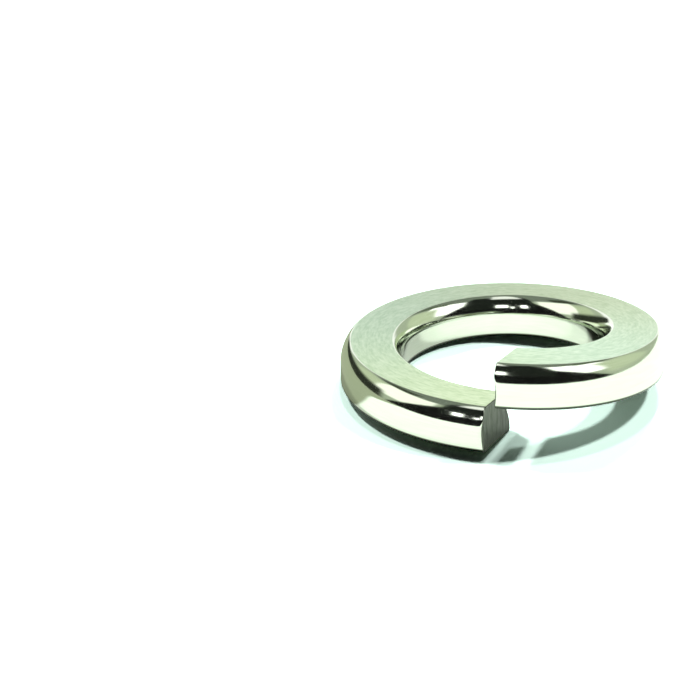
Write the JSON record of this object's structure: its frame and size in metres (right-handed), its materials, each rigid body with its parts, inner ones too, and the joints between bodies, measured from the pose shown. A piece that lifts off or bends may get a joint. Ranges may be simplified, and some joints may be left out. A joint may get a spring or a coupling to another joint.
{
  "type": "spring lock washer",
  "caption": "Split spring lock washer for M16: one turn of round-edged steel wire, cut at a slant and sprung open as a left-hand helix.",
  "frame": {"origin": "on the bore's axis, level with the lowest point of the low end", "axes": "+Z along the bore's axis towards the raised end, -Y towards the gap between the two cut ends"},
  "size_m": [0.0262, 0.0262, 0.0074],
  "materials": {
    "steel": "bright plated spring steel, satin on the flat top and underside, polished on the rounded edges and walls, dull grey on the cut ends"
  },
  "bodies": {
    "root": {"lock_washer": "steel"}
  },
  "joints": []
}
